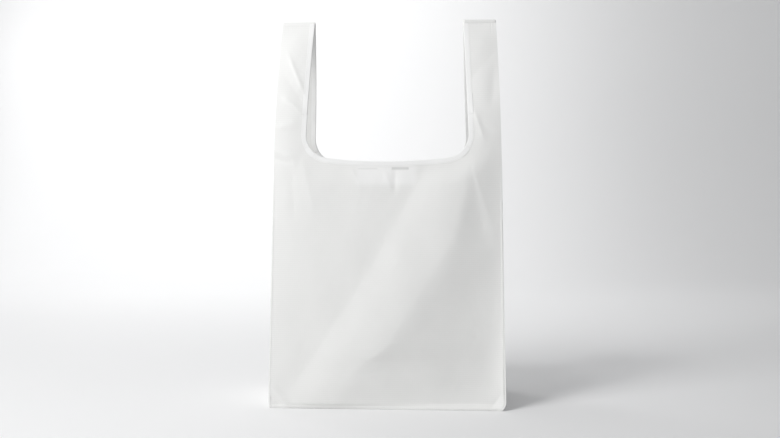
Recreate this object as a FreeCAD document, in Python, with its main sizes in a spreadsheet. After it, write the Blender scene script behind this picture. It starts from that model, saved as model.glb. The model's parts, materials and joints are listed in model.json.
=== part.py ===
import FreeCAD, Part
import math
import os
import Sketcher

# A reusable shopping bag of ripstop nylon, cut like a vest: a gusseted body whose two
# shoulders run up into loop handles. +X is to the right, +Y to the back, +Z up, and the
# origin is under the middle of the base. Every cloth wall is drawn thicker than the real
# ripstop, so that it stays a solid.

NODES = "parts"
os.makedirs(NODES, exist_ok=True)
doc = FreeCAD.newDocument("shopping_bag")
dims = doc.addObject("Spreadsheet::Sheet", "dims")
places = doc.addObject("Spreadsheet::Sheet", "places")
rows = {"dims": 0, "places": 0}


def add_row(sheet, alias, text):
    """Write one named cell and return the name that expressions use for it."""
    rows[sheet.Name] += 1
    cell = f"B{rows[sheet.Name]}"
    sheet.set(f"A{rows[sheet.Name]}", alias)
    sheet.set(cell, text)
    sheet.setAlias(cell, alias)
    return f"{sheet.Name}.{alias}"


# Driving dimensions in millimetres.
DRIVING = {
    "bag_height": 650,
    "base_width": 390,
    "base_depth": 150,
    "neck_height": 406,
    "neck_draw": 38,  # how much nearer the walls are at the neck than at the base
    "fold_gap": 8,  # between the outer faces of a handle at its top fold
    "shoulder_taper": 15,
    "top_taper": 26,
    "strap_root": 52.9,
    "strap_top": 55,
    "neck_sag": 6,
    "corner_run": 34.6,
    "corner_rise": 40.6,
    "corner_bend": 39.3,
    "cloth": 0.8,
    "tape": 0.7,
    "tape_width": 8,
    "thread": 0.3,
    "thread_width": 0.7,
    "thread_inset": 1.5,
    "seam_width": 3.5,
    "hinge_rise": 39,
    "hinge_gap": 0.5,
    "swing_relief": 18,
    "gusset_rise": 14,  # how far the gusset reaches above the neck at the walls
    "gusset_fold": 34,
    "side_mouth": 88,
    "side_mouth_drop": 28,  # how far the side mouth dips below the neck
    "top_seam": 10,
    "lap_height": 485,
    "lap_length": 34,
    "base_cloth": 1,
    "base_seam": 4,
    "base_ease": 0.5,  # between the base and the gussets' feet, which lean in a little
    "seam_roll": 1.2,
    "pouch_width": 105,
    "pouch_length": 100,
    "pouch_gap": 1.2,
    "pouch_drop": 8,
    "pouch_tape": 0.5,
    "pouch_hem": 7,
    "label_width": 30,
    "label_height": 6,
    "label_side": 22,
    "care_width": 22,
    "care_height": 45,
    "care_level": 110,
    "care_inset": 12,
    "label_cloth": 0.4,
}
for alias, size in DRIVING.items():
    add_row(dims, alias, str(size))

# Places worked out from the driving dimensions.
WORKED_OUT = {
    "base_half": "dims.base_width / 2",
    "shoulder_half": "(dims.base_width - dims.shoulder_taper) / 2",
    "top_half": "(dims.base_width - dims.top_taper) / 2",
    "strap_in": "places.shoulder_half - dims.strap_root",
    "strap_in_top": "places.top_half - dims.strap_top",
    "neck_half": "places.strap_in - dims.corner_run",
    "neck_end": "dims.neck_height + dims.neck_sag",
    "corner_end": "places.neck_end + dims.corner_rise",
    "neck_bend": "(places.neck_half^2 + dims.neck_sag^2) / (2 * dims.neck_sag)",
    "hinge_level": "dims.neck_height + dims.hinge_rise",
    "hinge_side": "(places.shoulder_half + places.strap_in) / 2",
    "hinge_radius": "dims.strap_root / 2",
    "root_top": "places.hinge_level - dims.swing_relief",
    "gusset_top": "dims.neck_height + dims.gusset_rise",
    "cuff_level": "dims.bag_height - dims.top_seam",
    "neck_depth": "dims.base_depth - dims.neck_draw",
    "wall_lean": "atan(dims.neck_draw / 2 / dims.neck_height)",
    "rise": "dims.bag_height - dims.neck_height",
    "run_in": "(places.neck_depth - dims.fold_gap) / 2",
    "profile_turn": "atan(places.run_in / places.rise) - places.wall_lean",
    "profile_bend": "sqrt(places.run_in^2 + places.rise^2) / (2 * sin(places.profile_turn))",
    "nothing": "0",
    "ground_left": "-places.base_half",
    "shoulder_left": "-places.shoulder_half",
    "top_left": "-places.top_half",
    "strap_left": "-places.strap_in",
    "neck_left": "-places.neck_half",
}
for alias, formula in WORKED_OUT.items():
    add_row(places, alias, f"={formula}")
doc.recompute()


def place(alias, formula):
    """Name one more worked-out place, and return its alias."""
    add_row(places, alias, f"={formula}")
    places.recompute()
    return alias


def outline(name, corners, bends=None, turn=None):
    """A closed sketch through named corners. bends gives a side its radius and which way
    it bulges, +1 to the left of the way that the side runs; turn lays the sketch down."""
    sketch = doc.addObject("Sketcher::SketchObject", name)
    sketch.Placement = FreeCAD.Placement(FreeCAD.Vector(), turn or FreeCAD.Rotation())
    points = [FreeCAD.Vector(places.get(u), places.get(v), 0) for u, v in corners]
    ends = []
    for side, start in enumerate(points):
        finish = points[(side + 1) % len(points)]
        if side in (bends or {}):
            radius, bulge = bends[side]
            half = (finish - start) * 0.5
            across = FreeCAD.Vector(-half.y, half.x, 0).normalize()
            reach = places.get(radius)
            sagitta = reach - math.sqrt(reach**2 - half.Length**2)
            middle = start + half + across * sagitta * bulge
            # A sketch keeps its arcs anticlockwise, so one that bulges left is turned round.
            forward = bulge < 0
            first, last = (start, finish) if forward else (finish, start)
            index = sketch.addGeometry(Part.Arc(first, middle, last))
            ends.append((1, 2) if forward else (2, 1))
            held = sketch.addConstraint(Sketcher.Constraint("Radius", index, reach))
            sketch.setExpression(f"Constraints[{held}]", f"places.{radius}")
        else:
            sketch.addGeometry(Part.LineSegment(start, finish))
            ends.append((1, 2))
    for side, (u, v) in enumerate(corners):
        after = (side + 1) % len(points)
        join = ("Coincident", side, ends[side][1], after, ends[after][0])
        sketch.addConstraint(Sketcher.Constraint(*join))
        for word, alias in (("DistanceX", u), ("DistanceY", v)):
            fixed = (word, side, ends[side][0], places.get(alias))
            held = sketch.addConstraint(Sketcher.Constraint(*fixed))
            sketch.setExpression(f"Constraints[{held}]", f"places.{alias}")
    return sketch


UPRIGHT = FreeCAD.Rotation(FreeCAD.Vector(1, 0, 0), 90)  # sketch x, y become X, Z
SIDEWAYS = FreeCAD.Rotation(FreeCAD.Vector(1, 1, 1), 120)  # sketch x, y become Y, Z


def extrude(name, profile, way, length, both=False):
    """Carry a flat outline along a direction; both sides of its plane if both is set."""
    solid = doc.addObject("Part::Extrusion", name)
    solid.Base = profile
    solid.DirMode = "Custom"
    solid.Dir = FreeCAD.Vector(*way)
    solid.setExpression("LengthFwd", length)
    solid.Solid = True
    solid.Symmetric = both
    return solid


def grown(name, profile, by):
    """The same flat outline moved out by a distance, or in by a negative one."""
    wider = doc.addObject("Part::Offset2D", name)
    wider.Source = profile
    wider.Mode = "Pipe"
    wider.Join = "Arc"
    wider.setExpression("Value", by)
    return wider


def block(name, low, high):
    """A box between two corners, each given as three expressions."""
    solid = doc.addObject("Part::Box", name)
    for axis, side, start, stop in zip("xyz", ("Length", "Width", "Height"), low, high):
        solid.setExpression(f"Placement.Base.{axis}", start)
        solid.setExpression(side, f"({stop}) - ({start})")
    return solid


def peg(name, radius, side):
    """A round bar along Y on one handle's hinge line."""
    solid = doc.addObject("Part::Cylinder", name)
    solid.setExpression("Radius", radius)
    solid.setExpression("Height", "dims.base_depth * 2")
    quarter = FreeCAD.Rotation(FreeCAD.Vector(1, 0, 0), -90)
    solid.Placement = FreeCAD.Placement(FreeCAD.Vector(), quarter)
    solid.setExpression("Placement.Base.x", f"{side} * places.hinge_side")
    solid.setExpression("Placement.Base.y", "-dims.base_depth")
    solid.setExpression("Placement.Base.z", "places.hinge_level")
    return solid


def common(name, *shapes):
    solid = doc.addObject("Part::MultiCommon", name)
    solid.Shapes = list(shapes)
    return solid


def fuse(name, *shapes):
    solid = doc.addObject("Part::MultiFuse", name)
    solid.Shapes = list(shapes)
    solid.Refine = True
    return solid


def group(name, *shapes):
    solids = doc.addObject("Part::Compound", name)
    solids.Links = list(shapes)
    return solids


def less(name, shape, *tools):
    """A shape with each tool cut away in turn."""
    for number, tool in enumerate(tools):
        last = number == len(tools) - 1
        left = doc.addObject("Part::Cut", name if last else f"{name}_{number}")
        left.Base = shape
        left.Tool = tool
        shape = left
    return shape


def mirror(name, shape, normal):
    copy = doc.addObject("Part::Mirroring", name)
    copy.Source = shape
    copy.Base = FreeCAD.Vector()
    copy.Normal = FreeCAD.Vector(*normal)
    return copy


ACROSS, TO_BACK = (1, 0, 0), (0, 1, 0)
FAR = "dims.bag_height * 2"
BELOW = "-dims.bag_height"


# The bag's depth over its outer faces at the floor, the neck and the top fold.
LEVELS = [
    ("dims.base_depth", "nothing"),
    ("places.neck_depth", place("neck_level", "dims.neck_height")),
    ("dims.fold_gap", place("fold_level", "dims.bag_height")),
]


def leaning(name, front, back, bulge):
    """A solid right across the bag between two lines that each run from the floor to the
    neck and on in an arc to the top fold. front and back give a line's place from the
    depth; bulge is the way that the second arc turns."""
    corners = []
    for end, line in (("a", front), ("b", back)):
        run = [(place(f"{name}_{end}{k}", line(deep)), level) for k, (deep, level) in enumerate(LEVELS)]
        corners += run if end == "a" else run[::-1]
    bends = {1: ("profile_bend", 1), 3: ("profile_bend", bulge)}
    return extrude(name, outline(f"{name}_profile", corners, bends, SIDEWAYS), ACROSS, FAR, True)


def skin(name, out, inward):
    """A layer that follows the front wall: its outer face is 'out' before the cloth's
    outer face and its inner face 'inward' behind it."""
    def front(deep):
        return f"-({deep}) / 2 - ({out})"

    def back(deep):
        return f"-({deep}) / 2 + ({inward})"

    return leaning(name, front, back, -1)


def hollow(name, out):
    """All the room between the front and back walls, moved out by a distance."""
    def front(deep):
        return f"-({deep}) / 2 - ({out})"

    def back(deep):
        return f"({deep}) / 2 + ({out})"

    return leaning(name, front, back, 1)


# Layers of the front wall. A strap is two cloths thick, because the gusset runs on up
# behind the wall's own cloth; tape wraps both faces and thread lies on the tape.
cloth_skin = skin("cloth_skin", "0", "dims.cloth")
strap_skin = skin("strap_skin", "0", "2 * dims.cloth")
seam_skin = skin("seam_skin", "-dims.cloth", "2 * dims.cloth")
neck_tape_skin = skin("neck_tape_skin", "dims.tape", "dims.cloth + dims.tape")
strap_tape_skin = skin("strap_tape_skin", "dims.tape", "2 * dims.cloth + dims.tape")
NECK_FACE = "dims.cloth + dims.tape"
STRAP_FACE = "2 * dims.cloth + dims.tape"
neck_thread_skin = skin("neck_thread_skin", "dims.tape + dims.thread", f"{NECK_FACE} + dims.thread")
strap_thread_skin = skin("strap_thread_skin", "dims.tape + dims.thread", f"{STRAP_FACE} + dims.thread")
lap_skin = skin("lap_skin", "2 * dims.tape", "-dims.tape")
tab_skin = skin("tab_skin", "2 * dims.tape", f"{NECK_FACE} + dims.tape")
label_skin = skin("label_skin", "-dims.cloth", "dims.cloth + dims.label_cloth")
cuff_room = hollow("cuff_room", "dims.tape")
inner_room = hollow("inner_room", "-dims.cloth")

# The flat shape of a wall: a silhouette less the open mouth between the handles.
silhouette = outline(
    "silhouette",
    [
        ("ground_left", "nothing"),
        ("base_half", "nothing"),
        ("shoulder_half", "corner_end"),
        ("top_half", "fold_level"),
        ("top_left", "fold_level"),
        ("shoulder_left", "corner_end"),
    ],
    turn=UPRIGHT,
)
# The mouth runs on past the top folds, so that the tapes end square there.
place("mouth_top", "dims.bag_height + 2 * dims.tape_width")
SPREAD = "(places.strap_in - places.strap_in_top) / (dims.bag_height - places.corner_end)"
place("mouth_side", f"places.strap_in_top - 2 * dims.tape_width * {SPREAD}")
place("mouth_left", "-places.mouth_side")
mouth = outline(
    "mouth",
    [
        ("mouth_left", "mouth_top"),
        ("strap_left", "corner_end"),
        ("neck_left", "neck_end"),
        ("neck_half", "neck_end"),
        ("strap_in", "corner_end"),
        ("mouth_side", "mouth_top"),
    ],
    {
        1: (place("corner_radius", "dims.corner_bend"), -1),
        2: ("neck_bend", -1),
        3: ("corner_radius", -1),
    },
    UPRIGHT,
)
TO_FRONT = (0, -1, 0)
wall_face = extrude("wall_face", silhouette, TO_FRONT, "dims.base_depth")
mouth_cut = extrude("mouth_cut", mouth, TO_FRONT, "dims.base_depth")
tape_line = grown("tape_line", mouth, "dims.tape_width")
wrap_line = grown("wrap_line", mouth, "-dims.tape")
LINE_IN = "dims.tape_width - dims.thread_inset - dims.thread_width"
thread_out = grown("thread_out", mouth, "dims.tape_width - dims.thread_inset")
thread_in = grown("thread_in", mouth, LINE_IN)
tape_field = less(
    "tape_field",
    extrude("tape_reach", tape_line, TO_FRONT, "dims.base_depth"),
    extrude("tape_wrap", wrap_line, TO_FRONT, "dims.base_depth"),
)
thread_field = less(
    "thread_field",
    extrude("thread_reach", thread_out, TO_FRONT, "dims.base_depth"),
    extrude("thread_clear", thread_in, TO_FRONT, "dims.base_depth"),
)

# The handles turn about a line along Y at each shoulder. Their roots are round about it,
# and the body is cut clear of them.
clear_pegs = [
    peg(f"clear_peg_{side + 1}", "places.hinge_radius + dims.hinge_gap", side) for side in (-1, 1)
]
above_root = block(
    "above_root",
    (BELOW, BELOW, "places.root_top"),
    ("dims.bag_height", "dims.bag_height", FAR),
)
not_body = fuse("not_body", above_root, *clear_pegs)
strap_zone = fuse(
    "strap_zone",
    peg("root_peg", "places.hinge_radius", 1),
    block(
        "above_hinge",
        ("0", BELOW, "places.hinge_level"),
        ("dims.bag_height", "dims.bag_height", "dims.bag_height - dims.cloth"),
    ),
)
cuff_zone = block(
    "cuff_zone",
    ("0", BELOW, "places.cuff_level"),
    ("dims.bag_height", "dims.bag_height", FAR),
)

nodes = {}


def node(label, shape):
    """Name a finished piece; its label is also its file's name."""
    shape.Label = label
    nodes[label] = shape
    return shape


# The walls.
front_cloth = less("front_cloth", common("wall_cloth", cloth_skin, wall_face), mouth_cut)
front_panel = node("front_panel", less("front_body", front_cloth, not_body))
node("back_panel", mirror("back_body", front_panel, TO_BACK))

# The gussets fold inwards along their middle, more and more towards the neck.
place("gusset_foot", "places.base_half - dims.seam_width")
GONE = "(dims.base_width / 2 - places.shoulder_half) * places.gusset_top / places.corner_end"
place("gusset_head", f"places.base_half - {GONE} - dims.seam_width")
place("foot_half", "dims.base_depth / 2")
place("foot_back", "-dims.base_depth / 2")
place("head_half", "places.neck_depth / 2")
place("head_back", "-places.neck_depth / 2")


def fold_section(name, level, side, half, fold, out, inward):
    """The gusset's V across one level, from 'out' outside its outer face to 'inward'."""
    for end, shift in (("o", out), ("i", f"-({inward})")):
        place(f"{name}_{end}", f"places.{side} + {shift}")
        place(f"{name}_{end}_mid", f"places.{side} - {fold} + {shift}")
    corners = [
        (f"{name}_o", f"{half}_back"),
        (f"{name}_o_mid", "nothing"),
        (f"{name}_o", f"{half}_half"),
        (f"{name}_i", f"{half}_half"),
        (f"{name}_i_mid", "nothing"),
        (f"{name}_i", f"{half}_back"),
    ]
    sketch = outline(name, corners[::-1])
    sketch.setExpression("Placement.Base.z", level)
    return sketch


def folded(name, out, inward):
    """A gusset layer: straight lines from its flat foot to its folded head."""
    layer = doc.addObject("Part::Loft", name)
    foot = fold_section(f"{name}_foot", "0", "gusset_foot", "foot", "0", out, inward)
    head = fold_section(
        f"{name}_head", "places.gusset_top", "gusset_head", "head", "dims.gusset_fold", out, inward
    )
    layer.Sections = [foot, head]
    layer.Solid = True
    layer.Ruled = True
    return layer


gusset_layer = folded("gusset_layer", "0", "dims.cloth")
gusset_tape_layer = folded("gusset_tape_layer", "dims.tape", "dims.cloth + dims.tape")
place("side_half", "dims.side_mouth / 2")
place("side_back", "-dims.side_mouth / 2")
place("side_level", "dims.neck_height - dims.side_mouth_drop + places.side_half")
side_mouth = outline(
    "side_mouth",
    [
        ("side_back", "fold_level"),
        ("side_back", "side_level"),
        ("side_half", "side_level"),
        ("side_half", "fold_level"),
    ],
    {1: (place("side_radius", "places.side_half * 1.0001"), -1)},
    SIDEWAYS,
)
side_cut = extrude("side_cut", side_mouth, ACROSS, FAR, True)
side_tape_line = grown("side_tape_line", side_mouth, "dims.tape_width")
side_wrap_line = grown("side_wrap_line", side_mouth, "-dims.tape")
side_tape_reach = extrude("side_tape_reach", side_tape_line, ACROSS, FAR, True)
side_tape_wrap = extrude("side_tape_wrap", side_wrap_line, ACROSS, FAR, True)
gusset_cloth = less("gusset_cloth", common("gusset_sheet", gusset_layer, inner_room), side_cut)
right_gusset = node("right_gusset", less("right_fold", gusset_cloth, not_body))
node("left_gusset", mirror("left_fold", right_gusset, ACROSS))
right_gusset_binding = node(
    "right_gusset_binding",
    less(
        "right_fold_tape",
        common("gusset_tape", gusset_tape_layer, inner_room, side_tape_reach),
        side_tape_wrap,
        gusset_cloth,
        not_body,
    ),
)
node("left_gusset_binding", mirror("left_fold_tape", right_gusset_binding, ACROSS))

# The base lies on the floor between the walls, and its seam allowance stands on it.
SIDE_IN = "places.gusset_foot - dims.cloth - dims.base_ease"
floor_slab = block(
    "floor_slab",
    (f"-({SIDE_IN})", BELOW, "0"),
    (SIDE_IN, "dims.bag_height", "dims.base_cloth"),
)
base_sheet = common("base_sheet", floor_slab, inner_room)
node("base_panel", base_sheet)
seam_slab = block(
    "seam_slab",
    (f"-({SIDE_IN})", BELOW, "dims.base_cloth"),
    (SIDE_IN, "dims.bag_height", "dims.base_cloth + dims.base_seam"),
)
INSET = "(dims.cloth + dims.seam_roll)"
seam_core = block(
    "seam_core",
    (f"-({SIDE_IN} - dims.seam_roll)", f"-(places.foot_half - {INSET})", BELOW),
    (f"{SIDE_IN} - dims.seam_roll", f"places.foot_half - {INSET}", FAR),
)
seam_ring = common("seam_ring", seam_slab, inner_room)
node("base_seam", less("base_seam_ring", seam_ring, seam_core))

# French seams down the four upright edges: the gusset's allowance behind the wall's own.
place("seam_ground", "places.base_half - dims.seam_width")
place("seam_shoulder", "places.shoulder_half - dims.seam_width")
place("seam_ground_left", "-places.seam_ground")
place("seam_shoulder_left", "-places.seam_shoulder")
between_seams = outline(
    "between_seams",
    [
        ("seam_ground_left", "nothing"),
        ("seam_ground", "nothing"),
        ("seam_shoulder", "corner_end"),
        ("seam_shoulder_left", "corner_end"),
    ],
    turn=UPRIGHT,
)
seam_strips = less(
    "seam_strips",
    common("seam_layer", seam_skin, wall_face),
    extrude("seam_inside", between_seams, TO_FRONT, "dims.base_depth"),
    not_body,
)
node("side_seams", group("four_seams", seam_strips, mirror("back_seams", seam_strips, TO_BACK)))

# The neck's binding, its thread, and the tabs that cover its joints with the handles.
neck_layer = common("neck_layer", neck_tape_skin, tape_field, wall_face)
neck_tape = less("neck_tape", neck_layer, front_cloth, not_body)
front_neck_binding = node("front_neck_binding", neck_tape)
node("back_neck_binding", mirror("back_neck_tape", front_neck_binding, TO_BACK))
tab_band = block(
    "tab_band",
    (BELOW, BELOW, "places.root_top - dims.tape_width"),
    ("dims.bag_height", "dims.bag_height", "places.root_top"),
)
neck_tabs = less(
    "neck_tabs",
    common("tab_layer", tab_skin, tape_field, wall_face, tab_band),
    neck_tape_skin,
    not_body,
)
node("corner_tabs", group("four_tabs", neck_tabs, mirror("back_tabs", neck_tabs, TO_BACK)))
neck_line = less(
    "neck_line",
    common("neck_line_layer", neck_thread_skin, thread_field, wall_face),
    neck_tape_skin,
    tab_band,
    not_body,
)
node("neck_thread", group("neck_lines", neck_line, mirror("back_line", neck_line, TO_BACK)))

# Plain labels inside: one under the neck's binding, one low beside the left seam.
place("label_top", "dims.neck_height - dims.tape_width - 0.5")
LABEL_END = "dims.label_side + dims.label_width / 2"
neck_label_field = block(
    "neck_label_field",
    ("dims.label_side - dims.label_width / 2", BELOW, "places.label_top - dims.label_height"),
    (LABEL_END, "0", "places.label_top"),
)
node("neck_label", common("neck_tag", label_skin, neck_label_field))
care_field = block(
    "care_field",
    ("-(places.seam_ground - dims.care_inset)", BELOW, "dims.care_level"),
    (
        "-(places.seam_ground - dims.care_inset - dims.care_width)",
        "0",
        "dims.care_level + dims.care_height",
    ),
)
node("care_label", common("care_tag", label_skin, care_field))

# The handles. Each is a front and a back strap, joined at the top by a rolled seam.
strap_sheet = common("strap_sheet", strap_skin, wall_face, strap_zone)
strap = less("strap", strap_sheet, mouth_cut)
strap_tape = less(
    "strap_tape",
    common("strap_tape_layer", strap_tape_skin, tape_field, wall_face, strap_zone),
    strap,
)
lap_band = block(
    "lap_band",
    ("0", BELOW, "dims.lap_height"),
    ("dims.bag_height", "0", "dims.lap_height + dims.lap_length"),
)
lap = common("lap", lap_skin, tape_field, wall_face, lap_band)
strap_line = less(
    "strap_line",
    common("strap_line_layer", strap_thread_skin, thread_field, wall_face, strap_zone),
    strap_tape_skin,
    lap_band,
    cuff_zone,
)
cuff_sheet = common("cuff_sheet", cuff_room, wall_face, cuff_zone)
half_cuff = less("half_cuff", cuff_sheet, mouth_cut, strap, strap_tape)
cuff = fuse("cuff", half_cuff, mirror("back_cuff", half_cuff, TO_BACK))


def both_faces(name, shape):
    return group(name, shape, mirror(f"{name}_back", shape, TO_BACK))


right_handle = {
    "front_strap": strap,
    "back_strap": mirror("strap_behind", strap, TO_BACK),
    "handle_binding": both_faces("handle_tapes", strap_tape),
    "binding_lap": both_faces("handle_laps", lap),
    "handle_thread": both_faces("handle_lines", strap_line),
    "top_seam": cuff,
}
for word, shape in right_handle.items():
    node(f"right_{word}", shape)
    node(f"left_{word}", mirror(f"{word}_left", shape, ACROSS))

# The stow pouch hangs inside the front wall from the neck's binding and swings on its
# top edge. The bag folds away into it.
POUCH_FACE = "-places.neck_depth / 2 + dims.cloth + dims.tape + dims.pouch_gap"
place("pouch_front", POUCH_FACE)
place("pouch_top", "dims.neck_height - dims.pouch_drop")
place("pouch_foot", "places.pouch_top - dims.pouch_length")
place("pouch_side", "dims.pouch_width / 2")
FRONT, TOP, FOOT, SIDE = (f"places.pouch_{k}" for k in ("front", "top", "foot", "side"))


def pouch_block(name, near, far, low=FOOT, high=TOP, side=SIDE):
    """A slab of the pouch between two depths behind its front face."""
    return block(name, (f"-({side})", f"{FRONT} + {near}", low), (side, f"{FRONT} + {far}", high))


back_layer = node("pouch_back_layer", pouch_block("pouch_outside", "0", "dims.cloth"))
MOUTH = f"{TOP} - dims.pouch_hem / 2"
front_layer = node(
    "pouch_front_layer",
    pouch_block("pouch_inside", "dims.cloth", "2 * dims.cloth", high=MOUTH),
)
hem_core = pouch_block(
    "hem_core",
    "dims.cloth",
    "2 * dims.cloth + dims.pouch_tape",
    f"{MOUTH} - dims.pouch_hem",
    f"{MOUTH} + dims.pouch_tape",
)
hem = node("pouch_mouth_hem", less("mouth_hem", hem_core, front_layer, back_layer))
EDGE = "dims.pouch_tape"
pouch_wrap = pouch_block(
    "pouch_wrap",
    f"-{EDGE}",
    f"2 * dims.cloth + 2 * {EDGE}",
    f"{FOOT} - {EDGE}",
    TOP,
    f"{SIDE} + {EDGE}",
)
pouch_core = pouch_block(
    "pouch_core",
    f"-2 * {EDGE}",
    f"2 * dims.cloth + 3 * {EDGE}",
    f"{FOOT} + dims.tape_width",
    f"{TOP} + {EDGE}",
    f"{SIDE} - dims.tape_width",
)
edge_frame = less("edge_frame", pouch_wrap, pouch_core, back_layer, front_layer, hem)
node("pouch_edge_binding", edge_frame)

doc.recompute()
for thing in doc.Objects:
    if "Invalid" in thing.State or "Error" in thing.State:
        raise RuntimeError(f"{thing.Name} ({thing.Label}) failed: {thing.State}")
for label, shape in sorted(nodes.items()):
    solid = shape.Shape
    if solid.isNull() or not solid.isValid() or not solid.Solids:
        raise RuntimeError(f"{label} is not a valid solid")
    print(f"{label}: {len(solid.Solids)} solid(s), {solid.Volume:.0f} mm3, {solid.BoundBox}")
    solid.exportStep(os.path.join(NODES, f"{label}.step"))
print(f"{len(nodes)} nodes")
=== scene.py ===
import json
import bpy
import numpy as np
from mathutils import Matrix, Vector

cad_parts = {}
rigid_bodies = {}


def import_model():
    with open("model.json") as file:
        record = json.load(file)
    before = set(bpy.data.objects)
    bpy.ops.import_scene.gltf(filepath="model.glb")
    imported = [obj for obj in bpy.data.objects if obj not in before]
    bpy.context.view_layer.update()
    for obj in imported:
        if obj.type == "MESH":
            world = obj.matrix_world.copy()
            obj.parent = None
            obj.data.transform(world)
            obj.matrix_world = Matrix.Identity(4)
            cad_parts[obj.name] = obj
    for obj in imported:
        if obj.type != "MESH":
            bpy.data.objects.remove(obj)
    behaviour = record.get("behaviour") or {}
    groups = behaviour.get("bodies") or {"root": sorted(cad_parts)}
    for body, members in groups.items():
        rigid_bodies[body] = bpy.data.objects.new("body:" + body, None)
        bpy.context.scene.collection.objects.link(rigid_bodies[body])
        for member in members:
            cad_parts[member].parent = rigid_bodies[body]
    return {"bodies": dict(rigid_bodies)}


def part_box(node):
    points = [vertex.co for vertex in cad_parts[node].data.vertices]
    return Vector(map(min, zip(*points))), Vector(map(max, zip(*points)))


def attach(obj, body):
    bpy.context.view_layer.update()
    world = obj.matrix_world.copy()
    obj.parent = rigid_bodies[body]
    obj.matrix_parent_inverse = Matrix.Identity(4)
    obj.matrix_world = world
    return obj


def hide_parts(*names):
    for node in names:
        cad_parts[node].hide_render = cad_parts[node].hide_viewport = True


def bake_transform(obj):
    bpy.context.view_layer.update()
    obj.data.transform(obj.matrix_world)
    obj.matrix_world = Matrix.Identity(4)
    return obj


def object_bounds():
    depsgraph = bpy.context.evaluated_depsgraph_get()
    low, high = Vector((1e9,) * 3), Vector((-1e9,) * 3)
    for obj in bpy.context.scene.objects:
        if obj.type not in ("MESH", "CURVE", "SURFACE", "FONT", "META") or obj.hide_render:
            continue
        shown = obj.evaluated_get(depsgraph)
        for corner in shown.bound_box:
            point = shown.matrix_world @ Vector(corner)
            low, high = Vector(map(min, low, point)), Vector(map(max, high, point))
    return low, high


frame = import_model()
CAD_LOW, CAD_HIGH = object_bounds()

bl_info = {
    "name": "Vest bag looks",
    "version": (1, 0, 0),
    "blender": (4, 5, 0),
    "location": "3D View > Sidebar > Vest bag",
    "description": "Cloth, tapes, stitching and studio for a ripstop vest-cut carrier bag",
    "category": "Object",
}

# Sizes are in millimetres and turn into metres when a mesh is made.
MM = 0.001
HEIGHT = CAD_HIGH[2] / MM
HALF_BASE = CAD_HIGH[0] / MM
HALF_DEPTH = CAD_HIGH[1] / MM
NECK = 406.0          # lowest point of the neck's edge
SHOULDER = 452.6      # where the strap's straight inner edge starts
SPLIT = 432.0         # height at which a strap's cloth takes over from the wall's
FOOT_HALF = 187.5     # half width at the shoulder
TOP_HALF = 182.0      # half width at the handle's fold
STRAP_IN = 134.6      # strap's inner edge at the shoulder
STRAP_TOP_IN = 127.0  # strap's inner edge at the fold
CORNER = (95.33, 451.02, 39.3)   # centre x, centre z and radius of the neck's corner
NECK_ARC = (1242.3, 836.3)       # centre height and radius of the neck's shallow arc
LEAN_ARC = (-710.86, 370.11, 767.695)   # curve that a strap leans back along
MOUTH = (422.0, 44.0)            # centre height and radius of the curved edge at a side
NECK_DRAW_IN = 19.0   # how much nearer the middle plane a wall is at the neck than at the foot
SEAM_ROOM = 0.8       # room between a side's edge and the wall it is sewn to
ROOT_LOW = 422        # lower end of a strap's inner layer, inside the wall
CUFF_MIDDLE = 644.4   # height of the middle of a handle's cuff
PLEAT_PITCH = 4.6     # distance between the short pleats at the cuff
EDGE_GAP = 0.7        # how far into the cloth a tape's half round starts
TAPE_STEP = 1.1       # width of tape that one step of its profile stands for
STITCH_REACH = 6.5    # distance of the stitching from a bound edge
FOLD_RISE = 0.19      # slope of the front's long fold at its valley
FOLD_FALL = 0.108     # slope past its crest
FOLD_SOFT = 0.012     # rounding of the valley: the larger, the softer
DENT_SLOPE = 0.022    # depth of the dent under the right corner for each mm from it
DENT_TIP = (136, 408)            # where that dent hangs from


def size(name):
    """A size from the panel, in millimetres."""
    return getattr(bpy.context.scene.vest_bag_sizes, name) / MM


def eased(low, high, value):
    """0 below low, 1 above high, and an S-curve 3t^2 - 2t^3 between them."""
    t = np.clip((value - low) / (high - low), 0, 1)
    return t * t * (3 - 2 * t)


def half_width(z):
    """Half the bag's width: two straight lines that meet at the shoulder."""
    return np.interp(z, [0, SHOULDER, HEIGHT], [HALF_BASE, FOOT_HALF, TOP_HALF])


def foot_tuck(x, z):
    """How far the foot of each side is turned under: most at the floor, none from 14 mm up, more on the right."""
    return (2 + 5 * (x > 0)) * (1 - np.clip(z / 14, 0, 1)) ** 2


def wall_depth(z):
    """Distance of a wall from the middle plane: a straight line to the neck, then an arc that leans back."""
    lean = np.sqrt(np.maximum(LEAN_ARC[2] ** 2 - (z - LEAN_ARC[1]) ** 2, 0)) + LEAN_ARC[0]
    return np.where(z <= NECK, HALF_DEPTH - NECK_DRAW_IN * z / NECK, lean)


def strap_inner(z):
    """Inner edge of a strap: the corner's circle below the shoulder, a straight line above it."""
    round_part = CORNER[0] + np.sqrt(np.maximum(CORNER[2] ** 2 - (z - CORNER[1]) ** 2, 0))
    straight = STRAP_IN + (STRAP_TOP_IN - STRAP_IN) * (z - SHOULDER) / (HEIGHT - SHOULDER)
    return np.where(z < SHOULDER, round_part, straight)


def edge_distance(x, z):
    """Distance into the cloth from its bound edge: the neck's arc, the corner's circle or the strap's line."""
    across = np.abs(x)
    neck = np.hypot(x, z - NECK_ARC[0]) - NECK_ARC[1]
    corner = np.hypot(across - CORNER[0], z - CORNER[1]) - CORNER[2]
    low = np.where(across < 100, neck, corner)
    return np.where(z > SHOULDER, across - strap_inner(z), low)


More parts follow.
